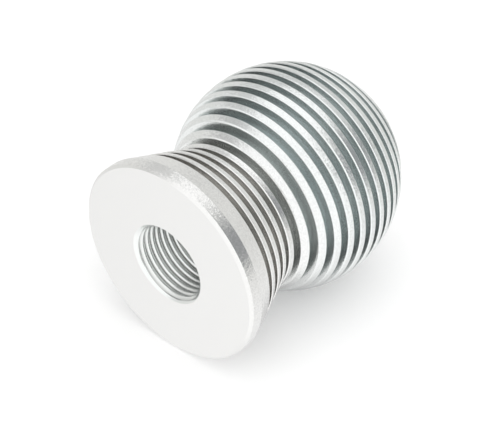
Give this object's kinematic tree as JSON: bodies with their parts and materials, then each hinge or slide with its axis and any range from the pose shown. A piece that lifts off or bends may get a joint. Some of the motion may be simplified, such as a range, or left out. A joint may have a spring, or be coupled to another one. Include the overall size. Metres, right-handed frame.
{
  "type": "gear shift knob",
  "caption": "Finned gear shift knob: a ball head on a narrow neck and flared skirt, turned in satin aluminium, with a blind threaded hole in its flat base for the gear lever.",
  "frame": {"origin": "centre of the flat base face that the knob stands on", "axes": "+Z along the turning axis, from the base face to the top of the ball head; X and Y are free, because the knob is round"},
  "size_m": [0.05, 0.05, 0.063],
  "materials": {
    "satin_aluminium": "turned and bead blasted, clear satin"
  },
  "bodies": {
    "root": {"shift_knob": "satin_aluminium"}
  },
  "joints": []
}
